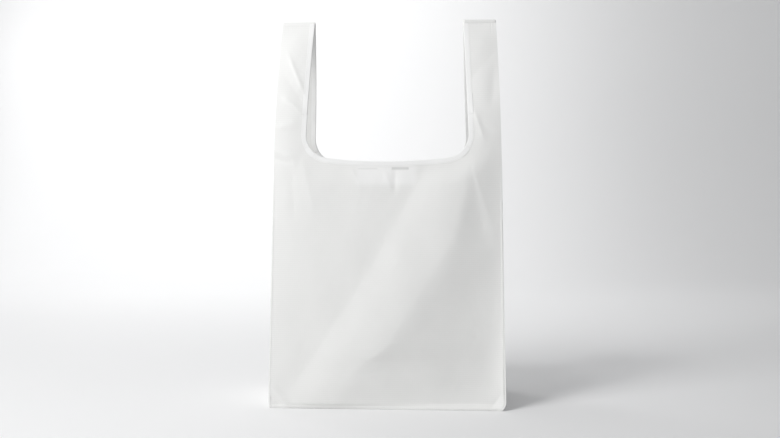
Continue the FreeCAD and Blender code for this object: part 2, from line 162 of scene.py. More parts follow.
def crease(x, z, start, end, width, height, sharp=2.0):
    """A fold line: height times e^-(|across| / width)^sharp, which fades out at both ends of the line."""
    run = np.subtract(end, start)
    length = np.hypot(*run)
    ux, uz = run / length
    along = ((x - start[0]) * ux + (z - start[1]) * uz) / length
    across = np.abs((z - start[1]) * ux - (x - start[0]) * uz) / width
    return height * np.exp(-across ** sharp) * eased(-0.15, 0.3, along) * (1 - eased(0.65, 1.15, along))


def crumple(x, z, seed, shortest, longest, steepness):
    """Sum of 16 plane waves of seeded direction, phase and length, each as high as length times steepness."""
    rng = np.random.default_rng(seed)
    total = np.zeros(np.broadcast(x, z).shape)
    for _ in range(16):
        length = shortest * (longest / shortest) ** rng.random()
        turn, phase = rng.random(2) * 2 * np.pi
        total += length * steepness * np.sin((x * np.cos(turn) + z * np.sin(turn)) * 2 * np.pi / length + phase)
    return total


# start, end, width, height and sharpness of each fold line, on the front and on the back
FRONT_CREASES = [
    ((14, 394), (13, 350), 6, -1.0, 1.4),
    ((-4, 392), (9, 356), 4, 0.5, 1.5),
    ((-60, 398), (-40, 360), 6, 0.5, 1.6),
    ((-196, 428), (-150, 412), 4, 0.7, 1.4),
    ((-194, 414), (-156, 402), 4, -1.1, 1.4),
    ((-140, 412), (-122, 330), 7, 0.6, 1.5),
    ((-158, 396), (-152, 300), 8, -0.5, 1.6),
    ((-193, 42), (-160, 3), 5, 1.6, 1.4),
    ((-194, 20), (-172, 2), 4, -1.4, 1.4),
    ((168, -2), (194, 34), 4, -1.1, 1.2),
    ((-139, 520), (-170, 592), 4, 1.3, 1.2),
    ((-139, 487), (-178, 517), 4, 1.1, 1.2),
    ((-139, 500), (-176, 556), 9, -0.8, 1.5),
    ((-186, 462), (-146, 472), 7, 0.8, 1.6),
    ((172, 500), (178, 566), 9, -1.2, 1.8),
    ((142, 496), (160, 440), 5, 1.5, 1.3),
    ((150, 470), (176, 452), 7, -0.7, 1.6),
]
BACK_CREASES = [
    ((-150, 412), (-120, 250), 10, -2.6, 1.7),
    ((158, 420), (150, 280), 8, 1.8, 1.8),
    ((120, 330), (20, 180), 16, 2.2, 1.8),
    ((-40, 300), (-150, 120), 20, 2.4, 1.8),
    ((190, 40), (150, 3), 6, 1.6, 1.5),
    ((-192, 44), (-160, 3), 6, 1.5, 1.5),
    ((60, 120), (140, 60), 9, -1.2, 1.6),
    ((141, 500), (173, 570), 6, 1.2, 1.6),
    ((-144, 480), (-176, 520), 6, 1.1, 1.6),
]


def billow(x, z):
    """One long soft fold across the front, between a valley line and a crest line.

    From the valley the cloth rises over the room t to the crest as t - 0.5 t^2; past the crest it bends over to a
    steady fall. At the right corner a cone-shaped dent hangs from the tape: a wide flank, a crease and a narrow
    flank."""
    valley = -173 + 0.597 * z + 8 * np.sin(np.pi * (z - 63) / 335)
    # The crest bends at these heights; the mean of three copies 9 mm apart rounds its bends.
    heights, places = [0, 70, 100, 230, 275, 400], [-95, -50, -3, 76, 106, 142]
    crest = sum(np.interp(z + shift, heights, places) for shift in (-9, 0, 9)) / 3
    room = np.maximum(crest - valley, 40)
    t = (x - valley) / room
    soft = np.minimum((t + np.sqrt(t * t + FOLD_SOFT)) / 2, 1)
    rise = FOLD_RISE * room * (soft - 0.5 * soft ** 2)
    before = -0.02 * np.minimum(x - valley, 0)
    near = np.exp(-np.maximum(x - crest, 0) / 45)
    past = np.maximum(x - near * crest - (1 - near) * (0.59 * z - 95), 0)
    turn = 9 + 16 * eased(90, 200, z) * (1 - eased(240, 330, z))
    fall = FOLD_FALL * (past - turn * (1 - np.exp(-past / turn)))
    tip_x, tip_z = DENT_TIP
    far, angle = np.hypot(x - tip_x, z - tip_z), np.arctan2(x - tip_x, tip_z - z)
    flank = np.where(angle < 0.17, eased(-0.24, 0.17, angle), 1 - eased(0.17, 0.36, angle))
    dent = DENT_SLOPE * far * flank * (1 - eased(105, 165, far)) * (z < tip_z)
    return rise + before - fall - dent


def relief(side, x, z):
    """How far the cloth stands out from its flat wall: belly, long folds, fold lines, puckers and fine crumple.

    All of it dies away at the side seams and at the foot, and most of it at the bound edge. The strap's share is a
    low pillow across its width and short pleats under the cuff."""
    to_side = half_width(z) - np.abs(x)
    to_edge = edge_distance(x, z)
    on_strap = eased(400, 470, z)
    calm = (1 - np.exp(-np.maximum(to_side, 0) / 12)) * eased(0, 18, z)
    slack = (1 - np.exp(-np.maximum(to_side, 0) / 26)) * eased(-40, 45, z) * np.clip(z / 9, 0, 1)
    slack = slack * (0.35 + 0.65 * eased(0, 45, to_edge)) * (1 - on_strap)
    belly = 6 * (1 - (x / 195) ** 2) * np.sin(np.pi * np.clip(z / 450, 0, 1))
    if side < 0:
        creases, seed = FRONT_CREASES, 11
        long_folds = bpy.context.scene.vest_bag_sizes.fold_depth * billow(x, z)
    else:
        creases, seed = BACK_CREASES, 29
        long_folds = 4.0 * np.sin(x / 62 + z / 95) + 2.2 * np.sin(z / 60 - x / 110)
    total = slack * (belly + long_folds + crumple(x, z, seed, 60, 150, 0.0012))
    total = total + calm * crumple(x, z, seed + 1, 13, 42, 0.0009) * (0.6 + 0.4 * on_strap)
    for start, end, width, height, sharp in creases:
        total = total + crease(x, z, start, end, width, height, sharp)
    share = np.clip((np.abs(x) - strap_inner(z)) / (half_width(z) - strap_inner(z)), 0, 1)
    total = total + on_strap * 1.6 * np.sin(np.pi * share) * (1 - eased(600, 640, z))
    fold = (z - 556) * 0.66 - (x - 148) * 0.75
    total = total + (x > 0) * (side < 0) * 0.07 * np.maximum(fold, 0) * eased(520, 560, z) \
        * (1 - eased(606, 638, z))
    turned = np.maximum(x - strap_inner(z), 0) * eased(430, 500, z) * (1 - eased(590, 640, z))
    total = total + (side < 0) * 0.055 * turned
    pleats = np.sin(x * 2 * np.pi / PLEAT_PITCH + 1.3 * np.sin(x / 7)) * np.exp(-(642 - np.minimum(z, 642)) / 20)
    total = total + on_strap * (0.10 + 0.12 * (x > 0)) * pleats * eased(0, 6, to_side) * eased(8, 11, to_edge)
    puckers = np.sin(z * 2 * np.pi / 8.5 + x * 0.31 + 1.5 * np.sin(x / 23)) * np.exp(-np.abs(to_edge - 12) / 5)
    return total + 0.08 * puckers * eased(7, 10, to_edge)


def hem_roll(z):
    """The rolled foot of a wall: a low ridge 2.6 mm up with a groove above it."""
    return 0.5 * np.exp(-((z - 2.6) / 1.8) ** 2) - 0.25 * np.exp(-((z - 6.0) / 1.0) ** 2)


def cloth_y(side, x, z):
    """Where the wall's or strap's outer face is: side is -1 for the front and 1 for the back."""
    return side * (wall_depth(z) + relief(side, x, z) + hem_roll(z))


def lining_gap(share, z):
    """Room between a strap's two layers: thin at the top, a loop by the outer edge, pinched shut at the root."""
    low = 1 - eased(424, 505, z)
    power = 1.5 + 4.5 * low
    open_share = 0.12 + 0.88 * eased(421, 452, z)
    room = 0.7 + (1.0 + 8.2 * low) * open_share * np.sin(np.pi * share ** power) ** 0.9
    return room * (1 - 0.35 * eased(600, 645, z))


def run_along(x, z):
    """Length along a line up to each of its points: the running sum of its steps."""
    return np.concatenate([[0], np.cumsum(np.hypot(np.diff(x), np.diff(z)))])


def shoulder_line(count):
    """The wall's upper edge, evenly by length: shoulder, corner's circle, neck's arc, corner's circle, shoulder."""
    low_angle = -np.arccos((100 - CORNER[0]) / CORNER[2])
    high_angle = -np.arcsin((CORNER[1] - SPLIT) / CORNER[2])
    angles = np.linspace(low_angle, high_angle, 40)
    corner_x = CORNER[0] + CORNER[2] * np.cos(angles)
    corner_z = CORNER[1] + CORNER[2] * np.sin(angles)
    neck_x = np.linspace(0, 100, 60)
    neck_z = NECK_ARC[0] - np.sqrt(NECK_ARC[1] ** 2 - neck_x ** 2)
    right_x = np.concatenate([neck_x, corner_x[1:], [half_width(SPLIT)]])
    right_z = np.concatenate([neck_z, corner_z[1:], [SPLIT]])
    xs = np.concatenate([-right_x[:0:-1], right_x])
    zs = np.concatenate([right_z[:0:-1], right_z])
    run = run_along(xs, zs)
    even = np.linspace(0, run[-1], count)
    return np.interp(even, run, xs), np.interp(even, run, zs)


def wall_grid(side):
    """A wall: columns run straight from the foot to the shoulder line, rows lie closer together at the foot."""
    top_x, top_z = shoulder_line(181)
    foot_x = np.linspace(-HALF_BASE, HALF_BASE, 181)
    v = np.concatenate([np.linspace(0, 0.022, 10), np.linspace(0.022, 1, 176)[1:]])[:, None]
    x = foot_x * (1 - v) + top_x * v
    z = top_z * v
    return x - foot_tuck(x, z) * np.sign(x) * np.abs(x / HALF_BASE) ** 8, cloth_y(side, x, z), z


def normals(grid):
    """Unit normals of a grid of points: the cross product of its steps along the columns and the rows."""
    across = np.gradient(grid, axis=1)
    along = np.gradient(grid, axis=0)
    n = np.cross(across, along)
    return n / np.maximum(np.linalg.norm(n, axis=2, keepdims=True), 1e-9)


def grid_quads(rows, columns):
    """Corner numbers of every cell of a grid, anticlockwise seen from its normal's side."""
    corner = np.arange(rows * columns).reshape(rows, columns)
    cells = [corner[:-1, :-1], corner[:-1, 1:], corner[1:, 1:], corner[1:, :-1]]
    return np.stack(cells, axis=2).reshape(-1, 4)


def shell(grid, uv, thick, flip=False):
    """A closed sheet: the grid, the same grid carried back by its thickness, and a rim between the two."""
    if flip:
        grid, uv = grid[:, ::-1], uv[:, ::-1]
    rows, columns = grid.shape[:2]
    back = grid - normals(grid) * thick
    count = rows * columns
    face = grid_quads(rows, columns)
    corner = np.arange(count).reshape(rows, columns)
    loop = np.concatenate([corner[0, :-1], corner[:-1, -1], corner[-1, :0:-1], corner[:0:-1, 0]])
    after = np.roll(loop, -1)
    rim = np.stack([after, loop, loop + count, after + count], axis=1)
    points = np.concatenate([grid.reshape(-1, 3), back.reshape(-1, 3)])
    uvs = np.concatenate([uv.reshape(-1, 2)] * 2)
    return points, np.concatenate([face, face[:, ::-1] + count, rim]), uvs


def tube(rings, uv):
    """A closed bar: rings of points one after another, each joined to the next, with a fan on each end ring."""
    count, around = rings.shape[:2]
    first = np.arange(count * around).reshape(count, around)
    nxt = np.roll(first, -1, axis=1)
    side = np.stack([first[:-1], nxt[:-1], nxt[1:], first[1:]], axis=2).reshape(-1, 4)
    points = np.concatenate([rings.reshape(-1, 3), rings[:1].mean(axis=1), rings[-1:].mean(axis=1)])
    uvs = np.concatenate([uv.reshape(-1, 2), uv[:1].mean(axis=1), uv[-1:].mean(axis=1)])
    low, high = count * around, count * around + 1
    start = np.stack([nxt[0], first[0], np.full(around, low), np.full(around, low)], axis=1)
    end = np.stack([first[-1], nxt[-1], np.full(around, high), np.full(around, high)], axis=1)
    return points, np.concatenate([side, start, end]), uvs


def stitches(centres, along, out, length, width, height):
    """A row of stitches: each is a low six-sided bead, pointed at both ends and laid along the seam."""
    side = np.cross(along, out)
    angle = np.arange(6) * np.pi / 3
    template = [(-0.5, 0, 0)]
    for place, swell in ((-0.3, 0.8), (0.3, 0.8)):
        template += [(place, swell * np.cos(a), swell * np.sin(a)) for a in angle]
    template.append((0.5, 0, 0))
    t = np.array(template)
    points = (centres[:, None] + along[:, None] * t[None, :, :1] * length
              + side[:, None] * t[None, :, 1:2] * width / 2 + out[:, None] * t[None, :, 2:3] * height / 2)
    ring = np.arange(6)
    after = (ring + 1) % 6
    start = np.stack([ring * 0, after + 1, ring + 1, ring + 1], axis=1)
    middle = np.stack([ring + 1, after + 1, after + 7, ring + 7], axis=1)
    end = np.stack([ring + 7, after + 7, ring * 0 + 13, ring * 0 + 13], axis=1)
    one = np.concatenate([start, middle, end])
    faces = (one[None] + 14 * np.arange(len(centres))[:, None, None]).reshape(-1, 4)
    uvs = np.tile(t[:, :2] * [length, width], (len(centres), 1))
    return points.reshape(-1, 3), faces, uvs


def make_piece(name, parts, kind, node, body):
    """Joins points, faces and flat coordinates into one mesh that faces outwards, and ties it to its body when body
    names one.

    body is a body's name, or "blend:" and a handle's name, which names no body: that piece has its placing baked into
    its mesh and is tied to none."""
    offset, points, faces, uvs = 0, [], [], []
    for part_points, part_faces, part_uvs in parts:
        points.append(part_points)
        faces.append(part_faces + offset)
        uvs.append(part_uvs)
        offset += len(part_points)
    points = np.concatenate(points) * MM
    faces = np.concatenate(faces)
    uvs = np.concatenate(uvs) * MM
    a, b, c, d = (points[faces[:, k]] for k in range(4))
    volume = (a * np.cross(b, c)).sum() + (a * np.cross(c, d)).sum()
    if volume < 0:
        faces = faces[:, ::-1]
    polygons = [tuple(dict.fromkeys(face)) for face in faces.tolist()]
    mesh = bpy.data.meshes.new(name)
    mesh.from_pydata(points.tolist(), [], polygons)
    mesh.validate()
    corners = np.empty(len(mesh.loops), int)
    mesh.loops.foreach_get("vertex_index", corners)
    layer = mesh.uv_layers.new(name="cloth")
    layer.data.foreach_set("uv", uvs[corners].astype(np.float32).ravel())
    mesh.shade_smooth()
    mesh.set_sharp_from_angle(angle=1.0)
    mesh.materials.append(material_of(kind))
    piece = bpy.data.objects.new(name, mesh)
    bpy.context.scene.collection.objects.link(piece)
    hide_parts(node)
    if body in frame["bodies"]:
        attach(piece, body)
    else:
        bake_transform(piece)


def stack(x, y, z):
    """Three coordinates of any matching shapes as one array of points."""
    return np.stack(np.broadcast_arrays(x, y, z), axis=-1).astype(float)


def flat_places(u, v):
    """Two flat coordinates of any matching shapes as one array, for the pattern on a piece."""
    return np.stack(np.broadcast_arrays(u, v), axis=-1)


# ---------------------------------------------------------------- materials


def linear(code):
    """An sRGB hex colour as linear red, green, blue and full opacity."""
    parts = [int(code[i:i + 2], 16) / 255 for i in (0, 2, 4)]
    return [c / 12.92 if c <= 0.04045 else ((c + 0.055) / 1.055) ** 2.4 for c in parts] + [1.0]


def add(tree, kind, values=(), links=(), **settings):
    """Adds a node, sets its properties and its inputs' values, and links other nodes' outputs into it."""
    node = tree.nodes.new(kind)
    for key, value in settings.items():
        setattr(node, key, value)
    for key, value in dict(values).items():
        node.inputs[key].default_value = value
    for key, (source, output) in dict(links).items():
        tree.links.new(source.outputs[output], node.inputs[key])
    return node


def new_material(name):
    """An empty material and its node tree."""
    material = bpy.data.materials.new(name)
    material.use_nodes = True
    material.node_tree.nodes.clear()
    return material, material.node_tree


def finish_material(tree, values, links):
    """Adds the surface's shader with its settings and links, and the output."""
    shader = add(tree, "ShaderNodeBsdfPrincipled", values, links)
    add(tree, "ShaderNodeOutputMaterial", links={"Surface": (shader, "BSDF")})


def grid_lines(tree, pitch, line):
    """A square grid of raised threads: 1 on a weft line, less on a warp line, 0 between; the larger of the two."""
    place = add(tree, "ShaderNodeUVMap", uv_map="cloth")
    split = add(tree, "ShaderNodeSeparateXYZ", links={0: (place, 0)})
    both = []
    for axis, strength in ((0, 0.45), (1, 1.0)):
        fold = add(tree, "ShaderNodeMath", {1: pitch / 2}, {0: (split, axis)}, operation="PINGPONG")
        limits = {"From Min": 0.0, "From Max": line, "To Min": strength, "To Max": 0.0}
        both.append(add(tree, "ShaderNodeMapRange", limits, {"Value": (fold, 0)}, interpolation_type="SMOOTHSTEP"))
    largest = add(tree, "ShaderNodeMath", links={0: (both[0], 0), 1: (both[1], 0)}, operation="MAXIMUM")
    return place, largest


def soft_box(tree, place, low, high, edge):
    """1 inside a box on the object's X and Z, 0 outside it, with soft edges."""
    split = add(tree, "ShaderNodeSeparateXYZ", links={0: (place, "Object")})
    mask = None
    for axis, k in ((0, 0), (2, 1)):
        for limit, start, stop in ((low[k], 0.0, 1.0), (high[k], 1.0, 0.0)):
            limits = {"From Min": limit - edge, "From Max": limit + edge, "To Min": start, "To Max": stop}
            side = add(tree, "ShaderNodeMapRange", limits, {"Value": (split, axis)}, interpolation_type="SMOOTHSTEP")
            mask = side if mask is None else add(tree, "ShaderNodeMath", links={0: (mask, 0), 1: (side, 0)},
                                                 operation="MULTIPLY")
    return mask


def ripstop_nylon(name, base, rib, painted_layer_light_and_shade=False):
    """Uncoated white ripstop nylon, woven: thin plain weave with a raised grid.

    It gives the eye a pale, half matt cloth with a fine check and a faint silky sheen where it turns away. Where the
    flag for the layers behind is set, the cloth is painted lighter where the pouch's second layer lies behind it and
    darker in two bars where the label's stitching lies behind it: painted light and painted shade of what shows
    through the thin cloth."""
    material, tree = new_material(name)
    # The grid of thicker threads is 3.3 mm apart, as on light shopping bags.
    place, grid = grid_lines(tree, bpy.context.scene.vest_bag_sizes.rib_pitch, 0.0005)
    # The real weave has a thread every 0.15 mm; it is drawn at 0.8 mm so that it shows close up.
    weave = add(tree, "ShaderNodeTexNoise", {"Scale": 1250.0, "Detail": 1.0}, {"Vector": (place, 0)})
    patches = add(tree, "ShaderNodeTexNoise", {"Scale": 22.0, "Detail": 3.0}, {"Vector": (place, 0)})
    ribbed = add(tree, "ShaderNodeMix", {6: linear(base), 7: linear(rib)}, {0: (grid, 0)}, data_type="RGBA")
    tone = add(tree, "ShaderNodeMapRange", {"From Min": 0.3, "From Max": 0.7, "To Min": 0.0, "To Max": 0.05},
               {"Value": (patches, 0)})
    colour = add(tree, "ShaderNodeMix", {7: linear("D9D9D6")}, {0: (tone, 0), 6: (ribbed, 2)}, data_type="RGBA")
    if painted_layer_light_and_shade:
        around = add(tree, "ShaderNodeTexCoord")
        # painted light: lighter where the pouch's second layer lies behind the thin cloth
        painted_light_by_pouch = soft_box(tree, around, (-0.050, 0.368), (0.048, 0.399), 0.006)
        some = add(tree, "ShaderNodeMath", {1: 0.6}, {0: (painted_light_by_pouch, 0)}, operation="MULTIPLY")
        colour = add(tree, "ShaderNodeMix", {7: linear("F8F8F7")}, {0: (some, 0), 6: (colour, 2)},
                     data_type="RGBA")
        # painted shade: two darker bars where the label's stitching lies behind the cloth
        bars = (((0.008, 0.3925), (0.036, 0.3965), 0.75), ((-0.048, 0.3930), (-0.016, 0.3955), 0.3))
        for low, high, part in bars:
            bar = soft_box(tree, around, low, high, 0.0012)
            some = add(tree, "ShaderNodeMath", {1: part}, {0: (bar, 0)}, operation="MULTIPLY")
            colour = add(tree, "ShaderNodeMix", {7: linear("D2D2D0")}, {0: (some, 0), 6: (colour, 2)},
                         data_type="RGBA")
    height = add(tree, "ShaderNodeMath", {1: 0.25}, {0: (weave, 0), 2: (grid, 0)}, operation="MULTIPLY_ADD")
    bump = add(tree, "ShaderNodeBump", {"Strength": 0.2, "Distance": 0.0002}, {"Height": (height, 0)})
    finish_material(tree, {"Roughness": 0.52, "IOR": 1.53, "Sheen Weight": 0.12, "Sheen Roughness": 0.4},
                    {"Base Color": (colour, 2), "Normal": (bump, 0)})
    return material


def woven_tape(name, base, shade):
    """Polyester edge tape, woven: fine ribs across its width.

    It gives the eye a matt line along each edge, painted slightly whiter than the cloth as a painted highlight where
    the rounded tape catches the light, and painted darker between its ribs as painted shade."""
    material, tree = new_material(name)
    place = add(tree, "ShaderNodeUVMap", uv_map="cloth")
    split = add(tree, "ShaderNodeSeparateXYZ", links={0: (place, 0)})
    # Real ribs are 0.4 mm apart; they are drawn 1.2 mm apart so that they show.
    rib = add(tree, "ShaderNodeMath", {1: 0.0006}, {0: (split, 1)}, operation="PINGPONG")
    level = add(tree, "ShaderNodeMapRange", {"From Min": 0.0, "From Max": 0.0006}, {"Value": (rib, 0)})
    fuzz = add(tree, "ShaderNodeTexNoise", {"Scale": 900.0, "Detail": 2.0}, {"Vector": (place, 0)})
    # painted shade: darker between the ribs, where the bump dips
    colour = add(tree, "ShaderNodeMix", {6: linear(shade), 7: linear(base)}, {0: (level, 0)}, data_type="RGBA")
    height = add(tree, "ShaderNodeMath", {1: 0.4}, {0: (fuzz, 0), 2: (level, 0)}, operation="MULTIPLY_ADD")
    bump = add(tree, "ShaderNodeBump", {"Strength": 0.4, "Distance": 0.0002}, {"Height": (height, 0)})
    finish_material(tree, {"Roughness": 0.72, "IOR": 1.5, "Sheen Weight": 0.1},
                    {"Base Color": (colour, 2), "Normal": (bump, 0)})
    return material


def spun_thread(name, base, shade):
    """Spun polyester sewing thread, of two twisted plies.

    It gives the eye small rounded stitches with a soft shine, painted darker between the plies: painted shade in the
    grooves."""
    material, tree = new_material(name)
    place = add(tree, "ShaderNodeTexCoord")
    # A 0.3 mm thread turns about every 0.9 mm.
    twist = add(tree, "ShaderNodeTexWave", {"Scale": 350.0, "Distortion": 1.5}, {"Vector": (place, "Object")},
                bands_direction="DIAGONAL")
    # painted shade: darker between the plies, where the twist's bump dips
    colour = add(tree, "ShaderNodeMix", {6: linear(shade), 7: linear(base)}, {0: (twist, 1)}, data_type="RGBA")
    bump = add(tree, "ShaderNodeBump", {"Strength": 0.5, "Distance": 0.0001}, {"Height": (twist, 1)})
    finish_material(tree, {"Roughness": 0.45, "IOR": 1.5, "Sheen Weight": 0.05},
                    {"Base Color": (colour, 2), "Normal": (bump, 0)})
    return material


def satin_label(name, base, shade):
    """Polyester satin label, woven smooth, with its long threads on the face.

    It gives the eye a silky patch whose shine is drawn out along one way."""
    material, tree = new_material(name)
    place = add(tree, "ShaderNodeUVMap", uv_map="cloth")
    # Satin threads are 0.1 mm wide; they are drawn 0.5 mm wide.
    stretch = add(tree, "ShaderNodeMapping", {"Scale": (2000.0, 120.0, 1.0)}, {"Vector": (place, 0)})
    grain = add(tree, "ShaderNodeTexNoise", {"Scale": 1.0, "Detail": 2.0}, {"Vector": (stretch, 0)})
    colour = add(tree, "ShaderNodeMix", {6: linear(shade), 7: linear(base)}, {0: (grain, 0)}, data_type="RGBA")
    bump = add(tree, "ShaderNodeBump", {"Strength": 0.3, "Distance": 0.0001}, {"Height": (grain, 0)})
    finish_material(tree, {"Roughness": 0.36, "IOR": 1.55, "Anisotropic": 0.5, "Sheen Weight": 0.1},
                    {"Base Color": (colour, 2), "Normal": (bump, 0)})
    return material


def paper_floor(name, base, shade):
    """Matt studio paper, unglazed.

    It gives the eye a soft pale ground with faint broad mottling, painted a little greyer to the front and to the
    right: painted shade where the light falls off."""
    material, tree = new_material(name)
    place = add(tree, "ShaderNodeTexCoord")
    mottle = add(tree, "ShaderNodeTexNoise", {"Scale": 2.0, "Detail": 2.0}, {"Vector": (place, "Object")})
    split = add(tree, "ShaderNodeSeparateXYZ", links={0: (place, "Object")})
    # painted shade: the paper greys to the right and to the front, most in the near right corner, where the light
    # falls off
    right = add(tree, "ShaderNodeMapRange", {"From Min": 0.3, "From Max": 1.5, "To Min": 0.0, "To Max": 0.27},
                {"Value": (split, 0)}, interpolation_type="SMOOTHSTEP")
    near = add(tree, "ShaderNodeMapRange", {"From Min": 1.6, "From Max": -0.4, "To Min": 0.0, "To Max": 0.27},
               {"Value": (split, 1)}, interpolation_type="SMOOTHSTEP")
    corner = add(tree, "ShaderNodeMath", {1: 3.0}, {0: (right, 0), 2: (right, 0)}, operation="MULTIPLY_ADD")
    both = add(tree, "ShaderNodeMath", links={0: (corner, 0), 1: (near, 0), 2: (right, 0)}, operation="MULTIPLY_ADD")
    both = add(tree, "ShaderNodeMath", links={0: (both, 0), 1: (near, 0)}, operation="ADD")
    grained = add(tree, "ShaderNodeMath", {1: 0.04}, {0: (mottle, 0), 2: (both, 0)}, operation="MULTIPLY_ADD")
    colour = add(tree, "ShaderNodeMix", {6: linear(base), 7: linear(shade)}, {0: (grained, 0)}, data_type="RGBA")
    finish_material(tree, {"Roughness": 0.9}, {"Base Color": (colour, 2)})
    return material


MATERIALS = {}


def material_of(kind):
    """The material of a kind, made once from the colours in the panel."""
    colours = bpy.context.scene.vest_bag_colours
    if kind not in MATERIALS:
        makers = {
            "ripstop": lambda: ripstop_nylon("Ripstop nylon", colours.cloth, colours.cloth_rib),
            # front wall: ripstop with painted light and shade of the pouch and labels behind it
            "front": lambda: ripstop_nylon("Ripstop nylon with painted light and shade of layers behind", colours.cloth, colours.cloth_rib,
                                           painted_layer_light_and_shade=True),
            # the pouch's cloth, painted darker than the outer cloth: painted shade of the inside of the bag
            "lining_in_painted_shade": lambda: ripstop_nylon("Ripstop nylon, inner layers in painted shade", colours.lining_in_painted_shade, colours.cloth),
            "tape": lambda: woven_tape("Woven polyester tape", colours.tape, colours.tape_rib_painted_shade),
            "thread": lambda: spun_thread("Spun polyester thread", colours.thread, colours.thread_ply_painted_shade),
            "satin": lambda: satin_label("Woven satin label", colours.label, colours.label_shade),
        }
        MATERIALS[kind] = makers[kind]()
    return MATERIALS[kind]


# ---------------------------------------------------------------- lines that tapes and stitches follow


def neck_line(count):
    """The neck's bound edge, evenly by length, with the direction into the cloth at each point."""
    x, z = shoulder_line(1200)
    inside = np.abs(x) <= strap_inner(np.array(SPLIT)) + 0.01
    x, z = x[inside], z[inside]
    run = run_along(x, z)
    even = np.linspace(0, run[-1], count)
    x, z = np.interp(even, run, x), np.interp(even, run, z)
    dx, dz = np.gradient(x), np.gradient(z)
    length = np.hypot(dx, dz)
    return x, z, dz / length, -dx / length, even


def strap_line(hand, low, high, count):
    """A strap's inner edge from low to high, with the direction into the cloth at each point."""
    z = np.linspace(low, high, count)
    x = strap_inner(z)
    dx, dz = np.gradient(x), np.gradient(z)
    length = np.hypot(dx, dz)
    run = run_along(x, z)
    return hand * x, z, hand * dz / length, -dx / length, run


def round_edge(width):
    """A tape's course over an edge: its reach into the cloth, and 1 on the outer face to -1 on the inner one.

    Each leg is a straight run from the tape's width to EDGE_GAP; a half circle of 1 mm joins the two."""
    legs = np.linspace(width, EDGE_GAP, 7)
    turn = np.linspace(0, np.pi, 7)[1:-1]
    reach = np.concatenate([legs, EDGE_GAP - np.sin(turn), legs[::-1]])
    return reach, np.concatenate([np.ones(7), np.cos(turn), -np.ones(7)])


def folded_tape(side, line, inner_gap, width, lift, thick):
    """Tape folded over an edge: a leg on the outer face, a half round over the edge, a leg on the inner face.

    Each leg keeps its distance from the cloth's own surface under it. inner_gap(x, z) is the cloth's thickness under
    the tape; lift is the room between cloth and tape."""
    x, z, into_x, into_z, run = line
    reach, swing = round_edge(width)
    px = x[:, None] + into_x[:, None] * reach
    pz = z[:, None] + into_z[:, None] * reach
    sx = x[:, None] + into_x[:, None] * np.maximum(reach, 0.2)
    sz = z[:, None] + into_z[:, None] * np.maximum(reach, 0.2)
    outer = np.abs(cloth_y(side, sx, sz)) + lift
    inner = np.abs(cloth_y(side, sx, sz)) - inner_gap(sx, sz) - lift
    y = side * ((outer + inner) / 2 + swing * (outer - inner) / 2)
    across = np.concatenate([[0], np.cumsum(np.full(len(reach) - 1, TAPE_STEP))])
    grid = stack(px, y, pz)
    facing = normals(grid)[len(grid) // 2, 3, 1] * side
    return shell(grid, flat_places(across, run[:, None]), thick, flip=facing < 0)


def seam_stitches(side, line, reach, lift):
    """Stitches along a line at a given distance into the cloth, lying on the face that side names.

    Their middles are one pitch apart by length along the line; each lies along the line's own direction."""
    x, z, into_x, into_z, run = line
    pitch = size("stitch_pitch")
    places = np.arange(pitch / 2, run[-1], pitch)
    pick = [np.interp(places, run, values) for values in (x, z, into_x, into_z)]
    px, pz = pick[0] + pick[2] * reach, pick[1] + pick[3] * reach
    centres = stack(px, cloth_y(side, px, pz) + side * lift, pz)
    along = np.gradient(centres, axis=0)
    along /= np.linalg.norm(along, axis=1, keepdims=True)
    out = np.tile([0.0, float(side), 0.0], (len(places), 1))
    out -= along * (out * along).sum(axis=1, keepdims=True)
    out /= np.linalg.norm(out, axis=1, keepdims=True)
    return stitches(centres, along, out, size("stitch_length"), 0.55, 0.4)


# ---------------------------------------------------------------- pieces


def make_walls():
    """The front and back walls: each follows its own surface from the foot to the neck's edge and the shoulders."""
    for side, name, node in ((-1, "front_wall", "front_panel"), (1, "back_wall", "back_panel")):
        x, y, z = wall_grid(side)
        part = shell(stack(x, y, z), flat_places(x, z), size("cloth"), flip=side > 0)
        make_piece(name, [part], "front" if side < 0 else "ripstop", node, "bag_body")


def gusset_fold(y_share, z):
    """How far a side folds inwards: deepest at its middle, 34 mm at the top, with a rounded inner fold."""
    soft = (np.sqrt(y_share ** 2 + 0.012) - 0.1095) / (np.sqrt(1.012) - 0.1095)
    deep = 34 * z / 420
    belly = 2.6 * np.sin(np.pi * np.clip(np.abs(y_share), 0, 1)) ** 2 * np.clip(z / 120, 0, 1)
    return deep * (1 - soft) - belly


def gusset_x(hand, y, z):
    """Outer face of a side, as the fold and a little crumple leave it."""
    share = y / (wall_depth(z) - SEAM_ROOM)
    calm = (1 - np.exp(-(1 - np.minimum(np.abs(share), 1)) * 8)) * eased(0, 30, z)
    rough = crumple(y + 400 * hand, z, 41, 16, 60, 0.0016) * calm
    slants = crease(y, z, (-48, 330), (-10, 230), 6, 1.6) + crease(y, z, (50, 180), (8, 90), 7, 1.5)
    slants = slants + crease(y, z, (44, 378), (20, 300), 5, -1.4) + crease(y, z, (-60, 70), (-15, 4), 6, 1.4)
    return hand * (half_width(z) - 3.5 - foot_tuck(hand, z) - gusset_fold(share, z) + rough + slants * calm)


def mouth_height(y):
    """Upper edge of a side: a half circle between the straps' roots, and a short horn at each end."""
    bowl = MOUTH[0] - np.sqrt(np.maximum(MOUTH[1] ** 2 - y ** 2, 0))
    return bowl + 5 * eased(44, 46.5, np.abs(y))


